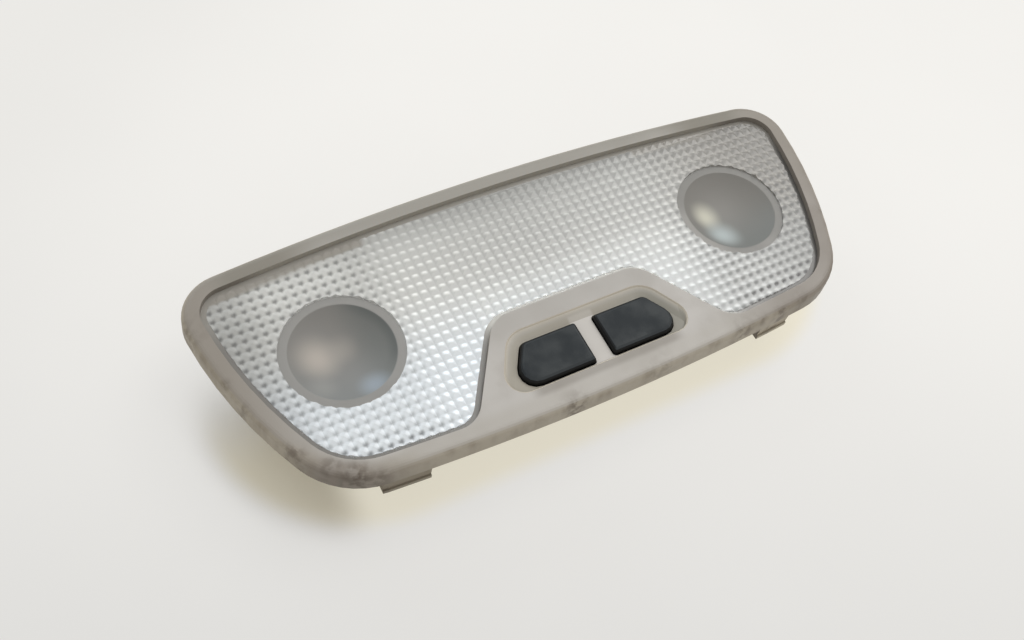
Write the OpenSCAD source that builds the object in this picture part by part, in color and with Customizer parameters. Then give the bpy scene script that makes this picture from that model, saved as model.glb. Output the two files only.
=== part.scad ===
// Rear seat light for a car's roof lining, lying on the back of its housing.
// +X runs along its length, +Y points to the long edge without buttons, +Z out of the lens.

/* [Overall size] */
// Length over the bezel
body_l = 211.6; // [206:0.2:218]
// Width over the bezel
body_w = 84.2; // [82:0.2:88]
// Height from the back of the housing to the bezel's top face
body_h = 28; // [27:0.5:33]

/* [Bezel outline] */
// Radius of the two long edges
long_edge_r = 920; // [800:10:1200]
// Radius of the two slanting ends
end_edge_r = 140; // [125:5:170]
// Distance of the end arcs' centres from the middle, towards the far edge
end_centre_y = 37; // [33:1:40]
// Radius of the two far corners
far_corner_r = 14; // [12:0.5:17]
// Radius of the two near corners
near_corner_r = 25; // [22:0.5:28]

/* [Bezel section] */
// Width of the rim from the outer wall to the lens opening
rim_w = 5.5; // [5.2:0.1:6.2]
// Height of the bezel's skirt
skirt_h = 6.5; // [6.2:0.1:7.5]
// Thickness of the skirt
skirt_t = 2; // [1.6:0.1:2.2]
// How much the skirt leans in from its foot to the rounded edge
skirt_draft = 0.3; // [0.1:0.1:0.5]
// Thickness of the top face
top_t = 1.8; // [1.5:0.1:2]
// Rounding of the outer top edge
edge_r = 2.2; // [1.5:0.1:2.8]
// Depth of the lens border below the top face
lens_drop = 2; // [1.9:0.1:2.6]
// Width of the lip that presses on the lens
lip_w = 1.6; // [1.2:0.1:1.8]

/* [Bezel tabs and catches] */
// Distance from the bezel's end to the middle of the left locating tab
left_tab_in = 39.9; // [38.4:0.5:42.4]
// Width of the left locating tab
left_tab_w = 14; // [8:0.5:14.5]
// Distance from the bezel's end to the middle of the right locating tab
right_tab_in = 45.4; // [40.4:0.5:49.4]
// Width of the right locating tab
right_tab_w = 12; // [8:0.5:14]
// Reach of a locating tab below the top face
tab_drop = 13; // [11.5:0.1:16]
// Step of a locating tab behind the skirt
tab_step = 0.5; // [0.4:0.1:0.8]
// Height of the hook at a tab's foot
tab_hook_h = 1.6; // [1:0.1:2.5]
// Length of a snap catch
catch_w = 8; // [5:0.5:10]
// Height of a snap catch
catch_h = 0.6; // [0.4:0.1:0.7]
// Grip of a snap catch under the housing's lip
catch_grip = 0.5; // [0.3:0.1:0.7]

/* [Switch island] */
// Distance from the bezel's near edge to the island's far edge
island_w = 34.7; // [33.2:0.1:36.1]
// Half length of the island's far edge, to its sharp corner
island_x = 24.9; // [24.3:0.1:27]
// Angle between the island's sides and its length
island_slope = 56.6; // [54:0.2:59]
// Radius of the island's far corners
island_corner_r = 9.5; // [7:0.5:11]
// Radius of the blends between the island and the rim
island_foot_r = 9; // [7:0.5:10]

/* [Switch recess] */
// Distance from the bezel's near edge to the recess's far edge
recess_far_in = 28.1; // [27.9:0.1:28.6]
// Distance from the bezel's near edge to the recess's near edge
recess_near_in = 9.4; // [8.7:0.1:9.4]
// Half length of the recess's far edge, to its sharp corner
recess_x = 23.5; // [23.4:0.1:23.9]
// Angle between the recess's sides and its length
recess_slope = 60.2; // [59:0.2:62]
// Radius of the recess's far corners
recess_far_r = 8; // [6:0.5:9]
// Radius of the recess's near corners
recess_near_r = 5.2; // [4.6:0.1:6]
// Depth of the recess
recess_d = 1.2; // [0.9:0.1:1.4]
// Width of the sloping wall at the sides
recess_side_run = 3.2; // [2.6:0.1:3.2]
// Width of the sloping wall at the far edge
recess_far_run = 3.3; // [2.6:0.1:3.4]
// Width of the steep wall at the near edge
recess_near_run = 0.3; // [0.2:0.05:0.3]
// Easing of the recess's top edge
recess_ease = 0.4; // [0.2:0.1:0.6]

/* [Buttons] */
// Gap between the two buttons
button_gap = 6.2; // [5.8:0.1:7]
// Distance from the bezel's near edge to the buttons' far edges
button_far_in = 24.1; // [23.5:0.1:24.2]
// Distance from the bezel's near edge to the buttons' near edges
button_near_in = 10.2; // [10.1:0.1:11.1]
// Distance from the middle to a button's far outer corner
button_x = 21.1; // [20:0.1:21.3]
// Angle of a button's outer edge
button_slope = 58; // [57:0.2:60]
// Radius of the corners beside the divider
button_inner_r = 0.9; // [0.6:0.1:1.5]
// Radius of the far outer corner
button_far_r = 2.6; // [2:0.1:3.2]
// Radius of the near outer corner
button_near_r = 4.8; // [4.2:0.1:5.2]
// Height of a button above the bezel's top face
button_rise = 0.8; // [0.4:0.1:1.2]
// Rounding of a button's top edge
button_edge_r = 1.3; // [0.8:0.1:1.6]
// Extra rounding of the edge towards the near side
button_near_ease = 0.9; // [0.3:0.1:1.2]
// Travel of a button
button_travel = 1.8; // [1:0.1:2]
// Gap round a button
button_clear = 0.35; // [0.25:0.05:0.4]
// Thickness of a button's walls
button_wall = 1.4; // [1.2:0.1:1.6]
// Thickness of a button's top
button_top_t = 1.8; // [1.5:0.1:2]
// Width of the stop flange at a button's foot
button_flange_w = 0.9; // [0.7:0.1:1]
// Thickness of the stop flange
button_flange_t = 1.2; // [1:0.1:1.5]
// Thickness of the guide sleeves round the buttons
sleeve_t = 1.2; // [1:0.1:1.3]
// Length of the guide sleeves below the recess's floor
sleeve_l = 7.8; // [6.8:0.1:8.2]

/* [Lens] */
// Thickness of the lens
lens_t = 2; // [1.6:0.1:2.2]
// Overlap of the lens under the bezel's lip
lens_lap = 1.5; // [1.3:0.1:1.5]
// Pitch of the prisms
prism_pitch = 3; // [2.8:0.1:4]
// Height of the prisms
prism_h = 1; // [0.6:0.1:1.2]
// Width of the smooth border round the prisms
prism_border = 1.7; // [1.2:0.1:2.2]

/* [Reading spots] */
// Distance from the bezel's end to the middle of each reading spot
spot_in = 37.8; // [35.8:0.1:37.8]
// Place of the reading spots across the width
spot_y = 0.7; // [-1:0.1:2]
// Outer radius of the smooth ring round a spot
spot_ring_r = 18; // [17.2:0.1:19]
// Radius of the bowl
spot_bowl_r = 15.4; // [14.6:0.1:15.6]
// Depth of the bowl
spot_depth = 5; // [4:0.1:5.4]
// Depth of the step from the prisms' foot to the ring
spot_ring_step = 0.4; // [0.2:0.1:0.6]

/* [Housing] */
// Thickness of the housing's walls
housing_t = 1.6; // [1.4:0.1:1.8]
// Gap between the housing's lip and the skirt
housing_clear = 0.3; // [0.2:0.05:0.4]
// Thickness of the housing's lip
housing_lip_t = 1; // [0.8:0.1:1.1]
// Distance from the bezel's outline to the housing's wall, below its lip
housing_top_in = 3.4; // [3.3:0.1:3.6]
// Distance from the bezel's outline to the housing's wall, at the back
housing_back_in = 8.4; // [7.6:0.1:9]
// Height of the ribs on the back
rib_h = 3; // [2.5:0.1:3.5]
// Thickness of the ribs on the back
rib_t = 1.6; // [1.2:0.1:2]
// Pitch of the cross ribs
rib_pitch = 35; // [30:1:38]
// Distance from a reading spot's middle to the far face of its partition
partition_in = 16.8; // [16.8:0.1:17.2]
// Thickness of the partitions
partition_t = 1.2; // [1:0.1:1.2]
// Gap between the partitions and the lens
partition_clear = 0.2; // [0.1:0.05:0.3]
// Thickness of the wall round the switches
bay_t = 1.4; // [1.2:0.1:1.6]

/* [Screws] */
// Distance of each screw from the middle
screw_x = 34.6; // [34.3:0.1:34.8]
// Distance from the bezel's near edge to the screws
screw_in = 12.3; // [12.1:0.1:12.7]
// Diameter of a screw's shank
screw_d = 2.9; // [2.5:0.1:3]
// Diameter of a screw's head
screw_head_d = 5.4; // [5:0.1:5.6]
// Height of a screw's head
screw_head_h = 1.9; // [1.5:0.1:2.2]
// Length of a screw's shank
screw_l = 12; // [9:0.5:13]
// Gap round a screw
screw_clear = 0.1; // [0.05:0.05:0.15]
// Diameter of the bezel's screw bosses
boss_d = 5; // [4.8:0.1:5.2]
// Length of the bezel's screw bosses
boss_l = 10.2; // [9:0.1:11]
// Diameter of the housing's screw posts
post_d = 8; // [7.6:0.1:8.4]
// Thickness of a post's end under the bezel's boss
post_end_t = 3; // [2.5:0.1:3.5]
// Gap round a screw's head in its post
screw_head_clear = 0.2; // [0.1:0.05:0.3]
// Length of the slots in a screw's head
screw_drive = 3.5; // [3:0.1:3.8]
// Width of the slots in a screw's head
screw_slot = 1; // [0.7:0.1:1.2]

/* [Connector] */
// Distance from the bezel's left end to the middle of the socket
socket_in = 72.8; // [71.8:0.5:73.8]
// Length of the socket's mouth
socket_l = 17; // [16.5:0.1:18]
// Distance from the bezel's far edge to the near side of the socket's mouth
socket_far_in = 17.7; // [17.3:0.1:17.9]
// Width of the socket's mouth
socket_w = 7.2; // [6.8:0.1:7.4]
// Depth of the socket
socket_d = 8; // [7.5:0.1:8.2]
// Thickness of the socket's walls
socket_t = 1.2; // [1:0.1:1.3]
// Pitch of the pins
pin_pitch = 4; // [3.6:0.1:4.2]
// Width of a pin
pin_w = 2; // [1.5:0.1:2.2]
// Thickness of a pin
pin_t = 0.8; // [0.6:0.1:0.8]
// Reach of the pins into the socket
pin_l = 3.4; // [3:0.1:3.6]

/* [Metal strips] */
// Thickness of the strips
strip_t = 0.5; // [0.4:0.05:0.6]
// Width of the strips
strip_w = 3; // [2.5:0.1:3.2]
// Gap between a strip and the slot it passes through
strip_clear = 0.5; // [0.3:0.1:0.6]
// Length of a strip's end under the piece that it serves
strip_lap = 1; // [0.5:0.1:1.5]
// Distance of the far strip's run from the pins
strip_turn = 4; // [4:0.5:6]
// Distance of the supply strip's run from the island's far edge
supply_run = 5; // [4:0.5:6]
// Distance of the switches' strips from the switches' middle
switch_run = 4; // [3.5:0.1:4.2]

/* [Bulbs] */
// Diameter of the tubular bulb's glass
tube_d = 10.5; // [9:0.5:11]
// Length of the tubular bulb between its clips
tube_l = 38; // [36:0.5:42]
// Diameter of the tubular bulb's caps
tube_cap_d = 8.6; // [7:0.1:9]
// Length of the tubular bulb's caps
tube_cap_l = 5.5; // [4:0.1:6]
// Length of the cone at each end of the tubular bulb's glass
tube_cone_l = 2.5; // [2:0.1:3]
// Diameter of the pointed tips of the tubular bulb
tube_tip_d = 3.2; // [2.8:0.1:3.2]
// Length of the pointed tips of the tubular bulb
tube_tip_l = 2; // [1.5:0.1:2.4]
// Distance from the island's far edge to the tubular bulb's axis
tube_in = 14.4; // [12.9:0.5:15.4]
// Gap below the tubular bulb
tube_clear = 1.5; // [1:0.1:2]
// Width of the tubular bulb's clips
tube_clip_w = 7; // [5:0.5:8]
// Diameter of the hole in a tubular bulb's clip
tube_clip_hole = 3.4; // [3.4:0.1:3.8]
// Diameter of a reading bulb's glass
bulb_d = 10; // [9:0.5:10.5]
// Length of a reading bulb's glass
bulb_l = 17.5; // [16:0.5:18]
// Length of a reading bulb's flat base
bulb_base_l = 8; // [6:0.5:9]
// Width of a reading bulb's flat base
bulb_base_w = 8.6; // [7:0.1:9]
// Thickness of a reading bulb's flat base
bulb_base_t = 2.6; // [2:0.1:3]
// Length of the taper between a reading bulb's glass and its base
bulb_taper_l = 3; // [2.5:0.1:3.5]
// Width of a bulb holder
holder_w = 13; // [12:0.5:14]
// Length of a bulb holder
holder_l = 10.5; // [9:0.5:11]
// Thickness of a bulb holder above the bulb's base
holder_top_t = 1; // [0.6:0.1:1.2]
// Gap between a bulb's base and its holder
holder_clear = 0.15; // [0.1:0.05:0.2]

/* [Reflectors] */
// Thickness of the middle reflector's sheet
reflector_t = 0.8; // [0.6:0.1:0.9]
// Height of the middle reflector's floor above the housing's floor
reflector_rise = 2; // [1.8:0.1:2.4]
// Gap between the middle reflector and the walls round it
reflector_clear = 0.3; // [0.2:0.05:0.4]
// Width of the middle reflector's far slope
reflector_far_run = 17.5; // [16.5:0.5:18]
// Outer radius of a spot reflector at its mouth
cup_r = 15.4; // [15.2:0.1:15.4]
// Outer radius of a spot reflector at its foot
cup_foot_r = 7; // [6:0.5:9]
// Height of a spot reflector's steep mouth
cup_mouth_h = 7; // [6:0.5:8]
// How much a spot reflector's mouth leans out
cup_flare = 1.5; // [1:0.1:2]
// Gap between a spot reflector's mouth and the lens
cup_drop = 1.6; // [1:0.1:2]
// Thickness of a spot reflector
cup_t = 0.7; // [0.6:0.1:0.8]
// Gap between a spot reflector and what passes through it
cup_clear = 0.4; // [0.3:0.1:0.5]

/* [Switches] */
// Distance of each switch from the middle
switch_x = 13; // [12.5:0.5:14]
// Distance from the bezel's near edge to the switches
switch_in = 17.5; // [17.1:0.1:17.9]
// Length of a switch
switch_l = 15; // [13:0.5:16]
// Width of a switch
switch_w = 10.5; // [9:0.5:11]
// Height of a switch
switch_h = 8; // [7:0.5:8.5]
// Outer diameter of the neck on a switch
neck_d = 5.6; // [5.4:0.1:5.8]
// Height of the neck on a switch
neck_h = 2; // [1.5:0.1:2.5]
// Diameter of a plunger
plunger_d = 3.8; // [3.4:0.1:4]
// Gap round a plunger in its switch
plunger_clear = 0.3; // [0.2:0.05:0.35]
// Gap between a plunger and the button that it carries
plunger_fit = 0.05; // [0.02:0.01:0.08]
// Depth of a plunger's end in its switch
plunger_depth = 6; // [5:0.1:6]
// Height of the socket inside a button
socket_boss_h = 4; // [3.5:0.1:4.5]
// Wire of a button's spring
spring_wire = 0.5; // [0.4:0.05:0.6]
// Turns of a button's spring
spring_turns = 5; // [4:1:6]
// Gap between a spring and the neck inside it
spring_clear = 0.3; // [0.2:0.05:0.4]

/* [Spring clips] */
// Distance from the bezel's end to the middle of each spring clip
clip_end_in = 43.8; // [39.8:1:45.8]
// Width of a spring clip
clip_w = 9; // [7:0.5:11]
// Thickness of a spring clip
clip_t = 0.5; // [0.4:0.1:0.6]
// Height of a spring clip
clip_h = 10; // [8:0.5:11]
// Spread of a spring clip's arm
clip_spread = 2.6; // [2:0.1:2.7]
// Distance from the bezel's outline to the lug that carries a clip
clip_in = 3.2; // [3.1:0.05:3.3]
// Distance from the housing's lip down to the lug
clip_drop = 2.6; // [2.2:0.1:3]
// Thickness of the lug that carries a clip
lug_t = 5; // [4:0.5:6]
// Height of the bend at a spring clip's foot
clip_bend = 1.8; // [1.2:0.1:2]

/* [Hidden] */

// Reach of a cut past the faces it goes through
cut = 1;
// Depth by which joined shapes of one piece run into each other
root = 0.2;
$fn = 48;

// Levels
skirt_z = body_h - skirt_h;
top_under_z = body_h - top_t;
lens_z = body_h - lens_drop;
lens_under_z = lens_z - lens_t;
housing_lip_z = lens_under_z - housing_lip_t;
floor_under_z = rib_h;
floor_z = rib_h + housing_t;
recess_z = body_h - recess_d;
sleeve_z = recess_z - sleeve_l;
button_top_z = body_h + button_rise;
button_foot_z = sleeve_z - button_clear - button_flange_t;
boss_z = top_under_z - boss_l;
switch_top_z = floor_z + switch_h;
neck_top_z = switch_top_z + neck_h;
plunger_foot_z = neck_top_z - plunger_depth;
spring_top_z = button_foot_z + button_flange_t + button_clear;
socket_roof_z = socket_d + socket_t;
strip_top_z = floor_z + strip_t;
bowl_under_z = lens_z - spot_ring_step - spot_depth - lens_t;
bulb_z = (floor_z + bowl_under_z) / 2;
holder_top_z = bulb_z + bulb_base_w / 2 + holder_top_t;
cup_top_z = lens_under_z - cup_drop;
reflector_z = floor_z + reflector_rise;
reflector_top_z = lens_under_z - partition_clear;
tube_z = reflector_z + reflector_t + tube_clear + tube_d / 2;
screw_seat_z = boss_z - post_end_t;
lug_top_z = housing_lip_z - clip_drop;
lug_foot_z = lug_top_z - clip_h;

// Places along the length and across the width
half_l = body_l / 2;
half_w = body_w / 2;
island_y = island_w - half_w;
recess_far_y = recess_far_in - half_w;
recess_near_y = recess_near_in - half_w;
button_far_y = button_far_in - half_w;
button_near_y = button_near_in - half_w;
switch_y = switch_in - half_w;
screw_y = screw_in - half_w;
tube_y = island_y + tube_in;
spot_x = half_l - spot_in;
partition_x = spot_x - partition_in;
clip_x = half_l - clip_end_in;
socket_x = socket_in - half_l;
socket_y = half_w - socket_far_in;
pin_foot_y = socket_y - socket_t - pin_t / 2;
holder_x = spot_x + bulb_l / 2 + strip_lap + holder_l / 2;
tube_clip_x = tube_l / 2 - tube_tip_l / 2 + clip_t / 2;
tube_clip_foot = tube_tip_l;

// Radius of the ball whose cap gives a bowl of the spot's radius and depth
bowl_r = (pow(spot_bowl_r, 2) + pow(spot_depth, 2)) / (2 * spot_depth);
// Diameter of the socket inside a button, which the spring bears on
button_boss_d = neck_d + 2 * spring_clear + 2 * spring_wire + 2 * plunger_clear;

// Centres and angles of the outline's arcs, for the half at +X
near_c = [0, long_edge_r - half_w];
far_c = -near_c;
far_corner_x = half_l - far_corner_r;
far_corner_c = [
    far_corner_x,
    far_c.y + sqrt(pow(long_edge_r - far_corner_r, 2) - pow(far_corner_x, 2))
];
end_c = [
    far_corner_x - sqrt(pow(end_edge_r - far_corner_r, 2) - pow(end_centre_y - far_corner_c.y, 2)),
    end_centre_y
];
near_corner_c = circles_meet(
    near_c, long_edge_r - near_corner_r, end_c, end_edge_r - near_corner_r
);
near_a = heading(near_c, near_corner_c);
end_near_a = heading(end_c, near_corner_c);
end_far_a = heading(end_c, far_corner_c);
far_a = heading(far_c, far_corner_c);

// Centres and angles of the island's arcs
island_side = [cos(island_slope), -sin(island_slope)];
island_normal = [sin(island_slope), cos(island_slope)];
island_side_a = 90 - island_slope;
island_corner_c = [
    island_x - island_corner_r * tan(island_slope / 2),
    island_y - island_corner_r
];
near_opening_r = long_edge_r - rim_w;
foot_c = line_meets_circle(
    [island_x, island_y] + island_normal * island_foot_r,
    island_side,
    near_c,
    near_opening_r - island_foot_r
);
foot_a = heading(near_c, foot_c);

// Paths of the metal strips on the housing's floor
strip_far_y = pin_foot_y - strip_lap / 2;
tube_end_x = tube_l / 2 - strip_lap;
supply_path = [
    [pin_x(1), pin_foot_y + strip_lap],
    [pin_x(1), tube_y],
    [-tube_end_x + strip_lap, tube_y],
    [-tube_end_x + strip_lap, island_y - supply_run],
    [switch_x + strip_w, island_y - supply_run]
];
door_light_path = [
    [pin_x(2), pin_foot_y + strip_lap],
    [pin_x(2), pin_foot_y - strip_turn],
    [tube_l / 2 + strip_lap, pin_foot_y - strip_turn],
    [tube_l / 2 + strip_lap, tube_y - strip_w]
];
ground_left_path = [
    [pin_x(0) + strip_lap, strip_far_y],
    [-holder_x, strip_far_y],
    [-holder_x, spot_y + holder_w / 2]
];
ground_right_path = [
    [pin_x(3) - strip_lap, strip_far_y],
    [holder_x, strip_far_y],
    [holder_x, spot_y + holder_w / 2]
];
switch_path = [
    [switch_x + switch_l / 2 - strip_lap, switch_y + switch_run],
    [partition_x + partition_t + strip_w, switch_y + switch_run],
    [holder_x, spot_y - holder_w / 2 - switch_run],
    [holder_x, spot_y - holder_w / 2]
];

function heading(a, b) = atan2(b.y - a.y, b.x - a.x);
function polar(c, r, a) = [c.x + r * cos(a), c.y + r * sin(a)];

// Where two circles meet, on the side at +X
function circles_meet(a, ra, b, rb) =
    let (d = norm(b - a))
    let (u = (b - a) / d)
    let (k = (ra * ra - rb * rb + d * d) / (2 * d))
    a + k * u + sqrt(ra * ra - k * k) * [-u.y, u.x];

// Where a line from p along u leaves a circle
function line_meets_circle(p, u, c, r) =
    let (w = p - c)
    p + u * (sqrt(pow(u * w, 2) - w * w + r * r) - u * w);

// Points of an arc, without its last one
function arc(c, r, a0, a1, n) = [for (i = [0 : n - 1]) polar(c, r, a0 + (a1 - a0) * i / n)];

// A half outline and its mirror image, as one closed outline
function mirrored(half) = concat(
    half,
    [for (i = [len(half) - 1 : -1 : 0]) if (half[i].x > 0.001) [-half[i].x, half[i].y]]
);

// The part of the outline that the bezel and its opening share, set in by d
function rim_half(d) = concat(
    arc(near_corner_c, near_corner_r - d, near_a, end_near_a, 8),
    arc(end_c, end_edge_r - d, end_near_a, end_far_a, 6),
    arc(far_corner_c, far_corner_r - d, end_far_a, far_a, 12),
    arc(far_c, long_edge_r - d, far_a, 90, 8),
    [[0, half_w - d]]
);

// Outline of the bezel, set in by d
function outline(d) = mirrored(
    concat(arc(near_c, long_edge_r - d, -90, near_a, 7), rim_half(d))
);

// Edge of the island, grown by d
function island_half(d) = concat(
    [[0, island_y + d]],
    arc(island_corner_c, island_corner_r + d, 90, island_side_a, 8),
    [polar(island_corner_c, island_corner_r + d, island_side_a)],
    arc(foot_c, island_foot_r - d, 180 + island_side_a, 360 + foot_a, 8)
);

// Outline of the lens opening, set in by d
function opening(d) = mirrored(concat(
    island_half(d),
    arc(near_c, near_opening_r - d, foot_a, near_a, 4),
    rim_half(rim_w + d)
));

// Area behind the island, grown by d, reaching past the bezel's near edge
function bay(d) = mirrored(concat(
    island_half(d),
    [polar(foot_c, island_foot_r - d, foot_a)],
    [[foot_c.x, -half_w - cut], [0, -half_w - cut]]
));

// Place of the near long edge at x, set in by d
function near_y(x, d) = near_c.y - sqrt(pow(long_edge_r - d, 2) - x * x);

// Round corner b of the path a, b, c
function corner(a, b, c, r, n) =
    let (u = (a - b) / norm(a - b))
    let (v = (c - b) / norm(c - b))
    let (half = acos(u * v) / 2)
    let (m = b + (u + v) / norm(u + v) * r / sin(half))
    let (a0 = heading(m, b + u * r / tan(half)))
    let (turn = (180 - 2 * half) * sign((b.x - a.x) * (c.y - b.y) - (b.y - a.y) * (c.x - b.x)))
    [for (i = [0 : n]) polar(m, r, a0 + turn * i / n)];

// Outline with a round corner at each [x, y, radius]
function rounded(p, n = 6) = [
    for (i = [0 : len(p) - 1])
    let (a = p[(i + len(p) - 1) % len(p)])
    let (c = p[(i + 1) % len(p)])
    each corner([a.x, a.y], [p[i].x, p[i].y], [c.x, c.y], p[i].z, n)
];

// Outline of the recess, set in by its own amount at the sides, far and near edge
function recess(side_in, far_in, near_in) =
    let (far_y = recess_far_y - far_in)
    let (low_y = recess_near_y + near_in)
    let (x0 = recess_x - side_in / sin(recess_slope) + far_in / tan(recess_slope))
    let (x1 = x0 + (far_y - low_y) / tan(recess_slope))
    rounded([
        [-x1, low_y, recess_near_r - side_in],
        [x1, low_y, recess_near_r - side_in],
        [x0, far_y, recess_far_r - side_in],
        [-x0, far_y, recess_far_r - side_in]
    ]);

// Outline of the right button, grown by d, its near edge set in by near_in
function button_outline(d, near_in = 0) =
    let (far_y = button_far_y + d)
    let (low_y = button_near_y - d + near_in)
    let (x0 = button_x + d / sin(button_slope) - d / tan(button_slope))
    let (x1 = x0 + (far_y - low_y) / tan(button_slope))
    let (inner_x = button_gap / 2 - d)
    let (inner_r = max(button_inner_r + d, 0.3))
    rounded([
        [inner_x, low_y, inner_r],
        [x1, low_y, button_near_r + d],
        [x0, far_y, button_far_r + d],
        [inner_x, far_y, inner_r]
    ], 5);

// Outline of a strip of thickness t along a path
function edge_normal(a, b) = [a.y - b.y, b.x - a.x] / norm(b - a);
function mitre(path, i) =
    let (last = len(path) - 1)
    let (before = edge_normal(path[max(i - 1, 0)], path[max(i, 1)]))
    let (after = edge_normal(path[min(i, last - 1)], path[min(i + 1, last)]))
    let (s = before + after)
    s * 2 / (s * s);
function ribbon(path, t) = concat(
    [for (i = [0 : len(path) - 1]) path[i] + mitre(path, i) * t / 2],
    [for (i = [len(path) - 1 : -1 : 0]) path[i] - mitre(path, i) * t / 2]
);

// Solid through a stack of outlines that have the same number of points
module loft(rings, levels) {
    n = len(rings[0]);
    m = len(rings);
    points = [for (k = [0 : m - 1]) for (p = rings[k]) [p.x, p.y, levels[k]]];
    foot = [for (i = [0 : n - 1]) i];
    head = [for (i = [n - 1 : -1 : 0]) (m - 1) * n + i];
    sides = [
        for (k = [0 : m - 2])
        for (i = [0 : n - 1])
        let (j = (i + 1) % n)
        each [
            [k * n + i, (k + 1) * n + i, (k + 1) * n + j],
            [k * n + i, (k + 1) * n + j, k * n + j]
        ]
    ];
    polyhedron(points, concat([foot, head], sides), convexity = 10);
}

module slab(points, z0, z1) {
    translate([0, 0, z0])
        linear_extrude(z1 - z0)
            polygon(points);
}

module slab_ring(outer, inner, z0, z1) {
    translate([0, 0, z0])
        linear_extrude(z1 - z0)
            difference() {
                polygon(outer);
                polygon(inner);
            }
}

// Block from corner a to corner b
module block(a, b) {
    translate(a)
        cube(b - a);
}

module both_sides() {
    children();
    mirror([1, 0, 0])
        children();
}

// Outer form of the bezel, with its leaning skirt and rounded edge
module bezel_form() {
    steps = 5;
    turns = [for (i = [0 : steps]) 90 * i / steps];
    loft(
        concat([outline(0)], [for (a = turns) outline(skirt_draft + edge_r * (1 - cos(a)))]),
        concat([skirt_z], [for (a = turns) body_h - edge_r * (1 - sin(a))])
    );
}

module recess_cut() {
    loft(
        [recess(recess_side_run, recess_far_run, recess_near_run), recess(0, 0, 0)],
        [recess_z, body_h - recess_ease]
    );
    loft(
        [recess(0, 0, 0), recess(-recess_ease, -recess_ease, -recess_ease)],
        [body_h - recess_ease, body_h]
    );
    slab(recess(-recess_ease, -recess_ease, -recess_ease), body_h, body_h + cut);
}

module recess_tub() {
    loft(
        [
            recess(recess_side_run - top_t, recess_far_run - top_t, recess_near_run - top_t),
            recess(-top_t, -top_t, -top_t)
        ],
        [recess_z - top_t, top_under_z + root]
    );
}

// Tab of width w below the near skirt, its middle at x
module tab(x, w) {
    intersection() {
        union() {
            slab_ring(outline(tab_step), outline(skirt_t + skirt_draft), body_h - tab_drop, skirt_z + root);
            slab_ring(
                outline(0), outline(skirt_t),
                body_h - tab_drop, body_h - tab_drop + tab_hook_h
            );
        }
        block([x - w / 2, -half_w - cut, 0], [x + w / 2, 0, body_h]);
    }
}

module catches() {
    z1 = housing_lip_z - root / 2;
    intersection() {
        slab_ring(
            outline(skirt_t),
            outline(skirt_t + skirt_draft + housing_clear + catch_grip),
            z1 - catch_h, z1
        );
        for (x = [-2 : 2], y = [-1, 1])
            translate([x * rib_pitch - catch_w / 2, y * half_w / 2 - half_w / 2, 0])
                cube([catch_w, half_w, body_h]);
    }
}

module bezel() {
    color([0.73, 0.70, 0.66])
    difference() {
        union() {
            difference() {
                bezel_form();
                slab(outline(skirt_t + skirt_draft), skirt_z - cut, top_under_z);
            }
            slab(opening(-lip_w), lens_z, top_under_z + root);
            recess_tub();
            both_sides() {
                slab(button_outline(button_clear + sleeve_t), sleeve_z, recess_z);
                translate([screw_x, screw_y, boss_z])
                    cylinder(h = boss_l + root, d = boss_d);
            }
            tab(left_tab_in - half_l, left_tab_w);
            tab(half_l - right_tab_in, right_tab_w);
            catches();
        }
        slab(opening(0), skirt_z - cut, body_h + cut);
        recess_cut();
        both_sides() {
            slab(button_outline(button_clear), sleeve_z - cut, recess_z + cut);
            translate([screw_x, screw_y, boss_z - cut])
                cylinder(h = boss_l + cut - root, d = screw_d + 2 * screw_clear);
        }
    }
}

// One pyramid of the lens, rooted in the plate
module prism() {
    hull() {
        translate([0, 0, -root])
            linear_extrude(root)
                square(prism_pitch, center = true);
        linear_extrude(prism_h, scale = 0)
            square(prism_pitch, center = true);
    }
}

// Ball that a spot's bowl is part of
module spot_ball(r) {
    translate([spot_x, spot_y, lens_z - spot_ring_step - spot_depth + bowl_r])
        sphere(r = r, $fn = 48);
}

module lens() {
    columns = ceil(half_l / prism_pitch);
    rows = ceil(half_w / prism_pitch);
    color([0.86, 0.88, 0.90, 0.6])
    difference() {
        union() {
            slab(opening(-lens_lap), lens_under_z, lens_z);
            intersection() {
                for (i = [-columns : columns], j = [-rows : rows])
                    translate([i * prism_pitch, j * prism_pitch, lens_z])
                        prism();
                slab(opening(prism_border), lens_z - root, lens_z + prism_h);
            }
            both_sides()
                intersection() {
                    spot_ball(bowl_r + lens_t);
                    translate([spot_x, spot_y, floor_z])
                        cylinder(h = lens_z - root - floor_z, r = spot_ring_r);
                }
        }
        both_sides() {
            spot_ball(bowl_r);
            translate([spot_x, spot_y, lens_z - spot_ring_step])
                cylinder(h = prism_h + spot_ring_step + cut, r = spot_ring_r, $fn = 60);
        }
    }
}

// Outer form of the housing, with walls that lean in towards the back
module housing_form() {
    loft(
        [outline(housing_back_in), outline(housing_top_in)],
        [floor_under_z, housing_lip_z]
    );
}

// Space inside the housing's leaning walls
module housing_space() {
    loft(
        [outline(housing_back_in + housing_t), outline(housing_top_in + housing_t)],
        [floor_z, lens_under_z + cut]
    );
}

// Ribs on the back of the housing
module back_ribs() {
    intersection() {
        slab(outline(housing_back_in), 0, floor_under_z + root);
        union() {
            slab_ring(outline(0), outline(housing_back_in + rib_t), 0, body_h);
            for (x = [-2 : 2])
                translate([x * rib_pitch - rib_t / 2, -half_w, 0])
                    cube([rib_t, body_w, body_h]);
            for (y = [-1, 1])
                translate([-half_l, y * half_w / 3 - rib_t / 2, 0])
                    cube([body_l, rib_t, body_h]);
        }
    }
}

// Walls inside the housing: round the switches and beside the reading spots
module inner_walls() {
    intersection() {
        housing_form();
        union() {
            slab_ring(bay(-root), bay(-root - bay_t), floor_z - root, lens_under_z);
            both_sides()
                block(
                    [partition_x, -half_w, floor_z - root],
                    [partition_x + partition_t, half_w, lens_under_z - partition_clear]
                );
        }
    }
}

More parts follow.
